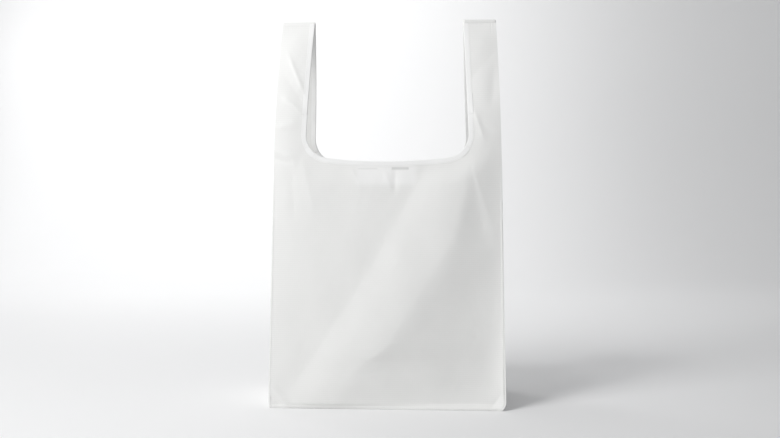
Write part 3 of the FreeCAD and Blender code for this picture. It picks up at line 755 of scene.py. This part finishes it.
def make_sides():
    """Both folded sides, and the tape round each one's curved edge: two legs and a half round over the edge."""
    for hand, word in ((-1, "left"), (1, "right")):
        share = np.linspace(-1, 1, 96)[None, :]
        v = np.linspace(0, 1, 170)[:, None]
        top = mouth_height(share * (wall_depth(np.array(424.0)) - SEAM_ROOM))
        z = np.maximum(v * top, 0.4)
        y = share * (wall_depth(z) - SEAM_ROOM)
        part = shell(stack(gusset_x(hand, y, z), y, z), flat_places(y + 500, z),
                     size("cloth"), flip=hand < 0)
        make_piece(f"{word}_side", [part], "ripstop", f"{word}_gusset", "bag_body")
        angle = np.linspace(np.pi, 2 * np.pi, 90)
        reach, swing = round_edge(size("tape_width"))
        radius = MOUTH[1] + reach
        ty = np.clip(np.cos(angle)[:, None] * radius, -53.5, 53.5)
        tz = MOUTH[0] + np.sin(angle)[:, None] * radius
        tx = gusset_x(hand, ty, tz) - hand * 0.25 + hand * swing * 0.75
        grid = stack(tx, ty, tz)
        facing = normals(grid)[45, 3, 0] * hand
        uv = flat_places(np.arange(len(reach)) * TAPE_STEP, angle[:, None] * MOUTH[1])
        tape = shell(grid, uv, 0.35, flip=facing < 0)
        make_piece(f"{word}_side_tape", [tape], "tape", f"{word}_gusset_binding", "bag_body")


def make_base():
    """The base: a slightly rippled floor of cloth, and a rolled hem round it along a rounded rectangle."""
    x = np.linspace(-188.0, 183.5, 120)[None, :]
    y = np.linspace(-74.2, 74.2, 50)[:, None]
    rough = 0.5 + 0.35 * crumple(x, y, 77, 30, 90, 0.004) * np.minimum(1, (74.2 - np.abs(y)) / 15)
    z = np.clip(0.85 + rough, 0.45, 4)
    part = shell(stack(x, y, z), flat_places(x, y), 0.4)
    make_piece("base_cloth", [part], "ripstop", "base_panel", "bag_body")
    corner, steps = 7.0, 12
    turn = np.linspace(0, np.pi / 2, steps)
    right, left, half_y = 185.6 - corner, corner - 190.2, 74.5 - corner
    path, out = [], []
    for quarter, (cx, cy) in enumerate(((right, half_y), (left, half_y), (left, -half_y), (right, -half_y))):
        a = turn + quarter * np.pi / 2
        path.append(np.stack([cx + corner * np.cos(a), cy + corner * np.sin(a)], axis=1))
        out.append(np.stack([np.cos(a), np.sin(a)], axis=1))
    path, out = np.concatenate(path), np.concatenate(out)
    run = run_along(path[:, 0], path[:, 1])
    even = np.linspace(0, run[-1], 420)
    path = np.stack([np.interp(even, run, path[:, k]) for k in (0, 1)], axis=1)
    out = np.stack([np.interp(even, run, out[:, k]) for k in (0, 1)], axis=1)
    around = np.arange(12) * np.pi / 6
    wobble = 1 + 0.12 * np.sin(even / 9)[:, None]
    swell = 0.6 * np.cos(around)[None, :] * wobble
    z = 1.9 + 1.5 * np.sin(around)[None, :]
    ring = stack(path[:, :1] + out[:, :1] * swell, path[:, 1:] + out[:, 1:] * swell, z)
    ring[:, :, 2] = np.maximum(ring[:, :, 2], 0.3)
    uv = flat_places(around * 1.3, even[:, None])
    make_piece("base_hem", [tube(ring, uv)], "ripstop", "base_seam", "bag_body")


def make_fins():
    """French seams down the four upright edges: flat oval bars that follow the walls and thin out upwards."""
    parts = []
    around = np.arange(14) * 2 * np.pi / 14
    z = np.linspace(0.6, 427, 210)
    for side in (-1, 1):
        for hand in (-1, 1):
            cx = half_width(z) - foot_tuck(hand, z) - 1.9
            cy = np.abs(cloth_y(side, hand * cx, z)) - 0.35 + 0.08 * np.sin(z / 5.1 + side) + 0.06 * np.sin(z / 13.7)
            slim = 1 - 0.75 * eased(300, 420, z)[:, None]
            dx = 2.0 * np.sign(np.cos(around)) * np.abs(np.cos(around)) ** 0.8
            dy = 0.75 * np.sin(around) * slim
            ring = stack(hand * (cx[:, None] + dx), side * (cy[:, None] + dy), z[:, None])
            uv = flat_places(around * 2, z[:, None])
            if side * hand < 0:
                ring, uv = ring[:, ::-1], uv[:, ::-1]
            parts.append(tube(ring, uv))
    make_piece("side_fins", parts, "ripstop", "side_seams", "bag_body")


def wall_gap(x, z):
    """The cloth under the neck's tape is one layer thick everywhere."""
    return np.full(np.broadcast(x, z).shape, size("cloth"))


def make_neck():
    """Tape and stitches along the neck, front and back, and a lap where its tape meets each handle's."""
    for side, word in ((-1, "front"), (1, "back")):
        tape = folded_tape(side, neck_line(200), wall_gap, size("tape_width"), 0.22, 0.18)
        make_piece(f"{word}_neck_tape", [tape], "tape", f"{word}_neck_binding", "bag_body")
    rows = [seam_stitches(side, neck_line(400), STITCH_REACH, 0.25) for side in (-1, 1)]
    make_piece("neck_stitching", rows, "thread", "neck_thread", "bag_body")
    tabs = []
    for side in (-1, 1):
        for hand in (-1, 1):
            line = strap_line(hand, 419.5, 431.0, 9)
            tabs.append(folded_tape(side, line, wall_gap, size("tape_width") + 0.6, 0.55, 0.25))
    make_piece("corner_laps", tabs, "tape", "corner_tabs", "bag_body")


def strap_parts(hand, side):
    """A strap's two layers: the wall's cloth outside, and the side's cloth behind it, lining_gap away."""
    z = np.concatenate([np.linspace(SPLIT, 600, 84), np.linspace(600, 649.0, 40)[1:]])[:, None]
    share = np.concatenate([np.linspace(0, 0.8, 24), np.linspace(0.8, 1, 14)[1:]])[None, :]
    x = strap_inner(z) + share * (half_width(z) - strap_inner(z))
    outer = stack(hand * x, cloth_y(side, hand * x, z), z)
    uv = flat_places(hand * x, z)
    parts = [shell(outer, uv, 0.4, flip=hand * side > 0)]
    low = np.linspace(ROOT_LOW, SPLIT, 6)[:-1, None]
    z2 = np.concatenate([low, z])
    inner_x = strap_inner(np.maximum(z2, 426))
    x2 = inner_x + share * (half_width(z2) - inner_x) - 0.3 * share
    y2 = np.abs(cloth_y(side, hand * x2, z2)) - lining_gap(share, z2)
    y2 = y2 + 0.25 * crumple(x2, z2 + 300 * side, 55, 12, 40, 0.003) * np.sin(np.pi * share)
    inner = stack(hand * x2, side * np.maximum(y2, 0.5), z2)
    uv2 = flat_places(hand * x2 + 300, z2)
    parts.append(shell(inner, uv2, 0.35, flip=hand * side < 0))
    return parts


def make_handles():
    """Both handles: straps, the tape and stitches along each inner edge, the lap of the tape's ends, the cuff."""
    width = size("tape_width")
    for hand, word in ((-1, "left"), (1, "right")):
        body = f"{word}_handle"
        for side, place in ((-1, "front"), (1, "back")):
            make_piece(f"{word}_{place}_strap_cloth", strap_parts(hand, side), "ripstop",
                       f"{word}_{place}_strap", f"blend:{body}")

        def gap(x, z):
            """Thickness under the tape: both layers of the strap and the room between them."""
            share = np.clip((np.abs(x) - strap_inner(z)) / (half_width(z) - strap_inner(z)), 0, 1)
            return lining_gap(share, z) + 0.35

        tapes = [folded_tape(side, strap_line(hand, SPLIT, 645.0, 110), gap, width, 0.28, 0.22) for side in (-1, 1)]
        make_piece(f"{word}_handle_tape", tapes, "tape", f"{word}_handle_binding", f"blend:{body}")
        rows = [seam_stitches(side, strap_line(hand, SPLIT + 1, 640, 200), STITCH_REACH, 0.32) for side in (-1, 1)]
        make_piece(f"{word}_handle_stitching", rows, "thread", f"{word}_handle_thread", f"blend:{body}")
        laps = [folded_tape(side, strap_line(hand, 485.0, 519.0, 20), gap, width + 0.5, 0.6, 0.3) for side in (-1, 1)]
        make_piece(f"{word}_tape_lap", laps, "tape", f"{word}_binding_lap", body)
        make_cuff(hand, word)


def make_cuff(hand, word):
    """The seam that joins a handle's two straps: a flattened roll across the handle, rounded at its ends.

    Half its depth runs from foot_half at its foot to top_half at its top, and a sine closes it above and below."""
    foot_half, top_half = (8.0, 4.2) if hand < 0 else (6.0, 8.4)
    u = np.linspace(0, 1, 60)
    x = STRAP_TOP_IN + 0.4 + u * (TOP_HALF - STRAP_TOP_IN - 0.2)
    around = np.arange(36) * 2 * np.pi / 36
    up = np.sin(around)
    end = np.clip(1 - np.maximum(np.abs(2 * u - 1) - 0.93, 0) ** 2 * 60, 0.5, 1)
    square = np.sign(np.cos(around)) * np.abs(np.cos(around)) ** 0.35
    depth = (foot_half + (top_half - foot_half) * (up + 1) / 2) * square
    drop = 1.9 * np.maximum(u - 0.93, 0) ** 2 * 200 + 0.4 * np.sin(np.pi * u)
    y = depth * end[:, None] + 0.12 * np.sin(x * 2 * np.pi / PLEAT_PITCH)[:, None] * np.cos(around)
    z = CUFF_MIDDLE - drop[:, None] * (up > -0.5) + 5.2 * np.sign(up) * np.abs(up) ** 0.8
    ring = stack(hand * x[:, None], y, z)
    uv = flat_places(x[:, None], around * 5)
    parts = [tube(ring, uv)]
    places = np.arange(STRAP_TOP_IN + 3, TOP_HALF - 2, size("stitch_pitch"))
    for side in (-1, 1):
        centres = stack(hand * places, side * (foot_half - 0.1), np.full(len(places), 641.6))
        along = np.tile([1.0, 0.0, 0.0], (len(places), 1))
        out = np.tile([0.0, float(side), 0.0], (len(places), 1))
        parts.append(stitches(centres, along, out, size("stitch_length"), 0.5, 0.4))
    make_piece(f"{word}_cuff", parts, "ripstop", f"{word}_top_seam", f"{word}_handle")


def node_box(node):
    """A CAD node's lowest and highest corners, in millimetres."""
    low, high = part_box(node)
    return [v / MM for v in low], [v / MM for v in high]


def make_pouch():
    """A small flat pouch hung inside the front wall, with its mouth hemmed and its sides bound in tape."""
    for node, name, sag, gain in (("pouch_back_layer", "pouch_back_cloth", 0.0, 0.0),
                                  ("pouch_front_layer", "pouch_front_cloth", 1.6, 1.0)):
        low, high = node_box(node)
        x = np.linspace(low[0] + 0.3, high[0] - 0.3, 50)[None, :]
        z = np.linspace(low[2], high[2], 48)[:, None]
        u = (x - low[0]) / (high[0] - low[0])
        v = (z - low[2]) / (high[2] - low[2])
        rough = 0.12 * crumple(x, z, 91, 12, 40, 0.004)
        y = high[1] + sag * np.sin(np.pi * u) * np.sin(np.pi * v) ** 0.6 + rough * gain
        part = shell(stack(x, y, z), flat_places(x, z), 0.3, flip=True)
        make_piece(name, [part], "lining_in_painted_shade", node, "stow_pouch")
    low, high = node_box("pouch_mouth_hem")
    around = np.arange(12) * np.pi / 6
    x = np.linspace(low[0], high[0], 60)
    cy, cz = (low[1] + high[1]) / 2 + 0.8, (low[2] + high[2]) / 2
    ring = stack(x[:, None], cy + (0.7 + 0.1 * np.sin(x / 5))[:, None] * np.cos(around), cz + 3.4 * np.sin(around))
    uv = flat_places(x[:, None], around)
    make_piece("pouch_hem", [tube(ring, uv)], "lining_in_painted_shade", "pouch_mouth_hem", "stow_pouch")
    low, high = node_box("pouch_edge_binding")
    top = high[2]
    reach = np.array([0.0, 0.6, 1.6, 4.0, 6.6, 7.0])
    down, across = 40, 58
    foot = np.linspace(low[0], high[0], across + 2)[1:-1]
    path_x = np.concatenate([np.full(down, low[0]), foot, np.full(down, high[0])])
    path_z = np.concatenate([np.linspace(top, low[2], down), np.full(across, low[2]), np.linspace(low[2], top, down)])
    # The tape turns its two lower corners on the slant.
    into_x = np.concatenate([np.ones(down - 1), [0.7], np.zeros(across), [-0.7], -np.ones(down - 1)])
    into_z = np.concatenate([np.zeros(down - 1), [0.7], np.ones(across), [0.7], np.zeros(down - 1)])
    legs = np.concatenate([reach[::-1], reach[1:]])
    face = np.concatenate([np.ones(5), [0.0], -np.ones(5)])
    swell = 1 - np.exp(-np.abs(legs) / 0.5)
    cy, half = (low[1] + high[1]) / 2, (high[1] - low[1]) / 2
    y = cy + face * half * np.maximum(swell, 0.2) + 0 * path_x[:, None]
    grid = stack(path_x[:, None] + into_x[:, None] * legs, y, path_z[:, None] + into_z[:, None] * legs)
    uv = flat_places(np.arange(11) * 1.3, (np.arange(len(path_x)) * 2.3)[:, None])
    facing = normals(grid)[60, 2, 1]
    part = shell(grid, uv, 0.25, flip=facing < 0)
    make_piece("pouch_tape", [part], "tape", "pouch_edge_binding", "stow_pouch")


def make_labels():
    """Two plain labels inside the front wall, each with a low bulge that is a sine across and a sine down."""
    for node, name in (("neck_label", "neck_loop_label"), ("care_label", "care_tag")):
        low, high = node_box(node)
        x = np.linspace(low[0], high[0], 24)[None, :]
        z = np.linspace(low[2], high[2], 36)[:, None]
        u = (x - low[0]) / (high[0] - low[0])
        v = (z - low[2]) / (high[2] - low[2])
        inside = np.abs(cloth_y(-1, x, z)) - 0.5
        lift = 0.15 + 0.5 * np.sin(np.pi * u) * np.sin(np.pi * v)
        grid = stack(x, -(inside - lift - 0.35), z)
        part = shell(grid, flat_places(x, z), 0.3, flip=True)
        make_piece(name, [part], "satin", node, "bag_body")


# ---------------------------------------------------------------- stage


def area_light(name, place, target, width, power):
    """A round soft light at one place, turned to face another."""
    data = bpy.data.lights.new(name, "AREA")
    data.shape = "DISK"
    data.size = width
    data.energy = power
    lamp = bpy.data.objects.new(name, data)
    bpy.context.scene.collection.objects.link(lamp)
    lamp.location = place
    lamp.visible_camera = False
    lamp.rotation_euler = (Vector(target) - Vector(place)).to_track_quat("-Z", "Y").to_euler()


def make_stage(settings):
    """Floor that curves up into a wall: flat, then a quarter circle, then straight up."""
    angle = np.linspace(0, np.pi / 2, 30)
    y = np.concatenate([np.linspace(-3.2, 1.9, 20)[:-1], 1.9 + 1.1 * np.sin(angle), np.full(10, 3.0)])
    z = np.concatenate([np.zeros(19), 1.1 - 1.1 * np.cos(angle), np.linspace(1.1, 4.5, 11)[1:]])
    x = np.linspace(-5, 5, 60)
    points = stack(x[None, :], y[:, None], z[:, None] - 0.0002).reshape(-1, 3)
    mesh = bpy.data.meshes.new("studio_sweep")
    mesh.from_pydata(points.tolist(), [], grid_quads(len(y), len(x)).tolist())
    mesh.shade_smooth()
    mesh.materials.append(paper_floor("Matt studio paper", settings.floor, settings.floor_painted_shade))
    sweep = bpy.data.objects.new("studio_sweep", mesh)
    bpy.context.scene.collection.objects.link(sweep)
    area_light("Key", (-0.934, -1.114, 2.456), (0, 0, 0.3), 0.5, settings.key_power)
    area_light("Side", (-1.55, -1.24, 1.45), (0, 0, 0.3), 0.9, settings.side_power)
    for part, place, target, width, share in (("high", (-1.2, 1.0, 2.2), (-0.2, 3.0, 1.0), 1.5, 1),
                                              ("left", (-2.5, 2.0, 1.2), (0.3, 3.0, 0.9), 1.0, 0.35),
                                              ("middle", (-0.6, 1.3, 1.9), (0, 3.0, 0.9), 1.0, 0.47)):
        area_light(f"Wall wash, {part}", place, target, width, settings.wash_power * share)
    world = bpy.data.worlds.new("Soft room")
    world.use_nodes = True
    world.node_tree.nodes.clear()
    sky = add(world.node_tree, "ShaderNodeBackground", {"Color": linear("F4F5F7"), "Strength": settings.room_light})
    add(world.node_tree, "ShaderNodeOutputWorld", links={"Surface": (sky, 0)})
    bpy.context.scene.world = world
    bpy.context.scene.view_settings.view_transform = "Standard"
    data = bpy.data.cameras.new("Camera")
    data.lens = 34.8
    camera = bpy.data.objects.new("Camera", data)
    bpy.context.scene.collection.objects.link(camera)
    camera.location = (0.0720, -1.2993, 0.3364)
    camera.rotation_euler = (np.radians(90 - 1.16), 0, np.radians(3.08))
    bpy.context.scene.camera = camera


# ---------------------------------------------------------------- add-on classes


def length_setting(name, description, default, low, high):
    """A length for the panel, in metres."""
    return bpy.props.FloatProperty(name=name, description=description, default=default, min=low, max=high,
                                   unit="LENGTH", precision=4)


def factor_setting(name, description, default, high=10.0):
    """A plain factor for the panel."""
    return bpy.props.FloatProperty(name=name, description=description, default=default, min=0.0, max=high,
                                   subtype="FACTOR")


def power_setting(name, description, default):
    """A lamp's power for the panel, in watts."""
    return bpy.props.FloatProperty(name=name, description=description, default=default, min=0.0, subtype="POWER")


def colour_setting(name, description, default):
    """A colour for the panel, as the six digits of its sRGB hex value."""
    return bpy.props.StringProperty(name=name, description=description, default=default, maxlen=6)


class VestBagSizes(bpy.types.PropertyGroup):
    cloth: length_setting("Cloth thickness", "Thickness of a wall's cloth", 0.0005, 0.0001, 0.001)
    tape_width: length_setting("Tape width", "Width of the edge tape on each face of the cloth", 0.008, 0.004, 0.012)
    stitch_pitch: length_setting("Stitch pitch", "Distance from one stitch to the next", 0.0032, 0.002, 0.008)
    stitch_length: length_setting("Stitch length", "Length of one stitch", 0.0025, 0.001, 0.006)
    rib_pitch: length_setting("Rib pitch", "Distance between the ripstop's thicker threads", 0.0033, 0.002, 0.008)
    fold_depth: factor_setting("Fold depth", "Share of the front fold's full depth", 1.0, 1.1)


class VestBagColours(bpy.types.PropertyGroup):
    cloth: colour_setting("Cloth", "sRGB hex of the ripstop between its ribs", "EEEEEC")
    cloth_rib: colour_setting("Cloth ribs", "sRGB hex of the ripstop grid", "E9E9E7")
    # painted shade: the inner layers are painted darker than the outer cloth, where shade falls inside the bag
    lining_in_painted_shade: colour_setting("Inner layers", "sRGB hex of the pouch cloth", "E6E6E4")
    # painted highlight: the tape is whiter than the cloth where its rounded edge catches the light
    tape: colour_setting("Tape", "sRGB hex of the edge tape", "F8F8F7")
    # painted shade: the colour between the tape's ribs
    tape_rib_painted_shade: colour_setting("Tape shade", "sRGB hex between the tape's ribs", "F1F1F0")
    thread: colour_setting("Thread", "sRGB hex of the sewing thread", "F2F2F0")
    # painted shade: the colour between the thread's plies
    thread_ply_painted_shade: colour_setting("Thread shade", "sRGB hex between its plies", "DEDEDA")
    label: colour_setting("Label", "sRGB hex of the satin labels", "EBEBE8")
    label_shade: colour_setting("Label shade", "sRGB hex of the satin's shade", "DADAD6")


class VestBagStudio(bpy.types.PropertyGroup):
    floor: colour_setting("Paper", "sRGB hex of the studio paper", "F8F8F8")
    # painted shade: the colour the paper is painted where the light falls off, to the front and the right
    floor_painted_shade: colour_setting("Paper shade", "sRGB hex of its greyest part", "CDCDCD")
    key_power: power_setting("Key light", "Power of the key light", 13)
    side_power: power_setting("Side light", "Power of the light from the left", 25.5)
    wash_power: power_setting("Wall wash", "Power of the light on the wall", 17)
    room_light: factor_setting("Room light", "Strength of the light from all round", 0.425)


class VESTBAG_OT_walls(bpy.types.Operator):
    """Front and back walls with their folds"""
    bl_idname = "vestbag.walls"
    bl_label = "Walls"

    def execute(self, context):
        make_walls()
        return {"FINISHED"}


class VESTBAG_OT_sides(bpy.types.Operator):
    """Folded sides and the tape on their curved edges"""
    bl_idname = "vestbag.sides"
    bl_label = "Sides"

    def execute(self, context):
        make_sides()
        return {"FINISHED"}


class VESTBAG_OT_base(bpy.types.Operator):
    """Base cloth and the hem round it"""
    bl_idname = "vestbag.base"
    bl_label = "Base"

    def execute(self, context):
        make_base()
        make_fins()
        return {"FINISHED"}


class VESTBAG_OT_neck(bpy.types.Operator):
    """Neck tapes, their stitching and the laps at the corners"""
    bl_idname = "vestbag.neck"
    bl_label = "Neck"

    def execute(self, context):
        make_neck()
        return {"FINISHED"}


class VESTBAG_OT_handles(bpy.types.Operator):
    """Straps, tapes, stitching, laps and cuffs of both handles"""
    bl_idname = "vestbag.handles"
    bl_label = "Handles"

    def execute(self, context):
        make_handles()
        return {"FINISHED"}


class VESTBAG_OT_pouch(bpy.types.Operator):
    """Pouch that the folded bag goes into, and the labels"""
    bl_idname = "vestbag.pouch"
    bl_label = "Pouch and labels"

    def execute(self, context):
        make_pouch()
        make_labels()
        return {"FINISHED"}


class VESTBAG_OT_stage(bpy.types.Operator):
    """Floor, lights and camera"""
    bl_idname = "vestbag.stage"
    bl_label = "Studio"

    def execute(self, context):
        make_stage(context.scene.vest_bag_studio)
        return {"FINISHED"}


OPERATORS = (VESTBAG_OT_walls, VESTBAG_OT_sides, VESTBAG_OT_base, VESTBAG_OT_neck, VESTBAG_OT_handles,
             VESTBAG_OT_pouch, VESTBAG_OT_stage)


class VESTBAG_PT_panel(bpy.types.Panel):
    bl_idname = "VESTBAG_PT_panel"
    bl_label = "Vest bag"
    bl_space_type = "VIEW_3D"
    bl_region_type = "UI"
    bl_category = "Vest bag"

    def draw(self, context):
        scene = context.scene
        for group in (scene.vest_bag_sizes, scene.vest_bag_colours, scene.vest_bag_studio):
            for name in group.__annotations__:
                self.layout.prop(group, name)
        for operator in OPERATORS:
            self.layout.operator(operator.bl_idname)


CLASSES = (VestBagSizes, VestBagColours, VestBagStudio, *OPERATORS, VESTBAG_PT_panel)


def register():
    for cls in CLASSES:
        bpy.utils.register_class(cls)
    bpy.types.Scene.vest_bag_sizes = bpy.props.PointerProperty(type=VestBagSizes)
    bpy.types.Scene.vest_bag_colours = bpy.props.PointerProperty(type=VestBagColours)
    bpy.types.Scene.vest_bag_studio = bpy.props.PointerProperty(type=VestBagStudio)


def unregister():
    del bpy.types.Scene.vest_bag_studio
    del bpy.types.Scene.vest_bag_colours
    del bpy.types.Scene.vest_bag_sizes
    for cls in reversed(CLASSES):
        bpy.utils.unregister_class(cls)


def main():
    register()
    bpy.ops.vestbag.walls()
    bpy.ops.vestbag.sides()
    bpy.ops.vestbag.base()
    bpy.ops.vestbag.neck()
    bpy.ops.vestbag.handles()
    bpy.ops.vestbag.pouch()
    bpy.ops.vestbag.stage()


if __name__ == "__main__":
    main()
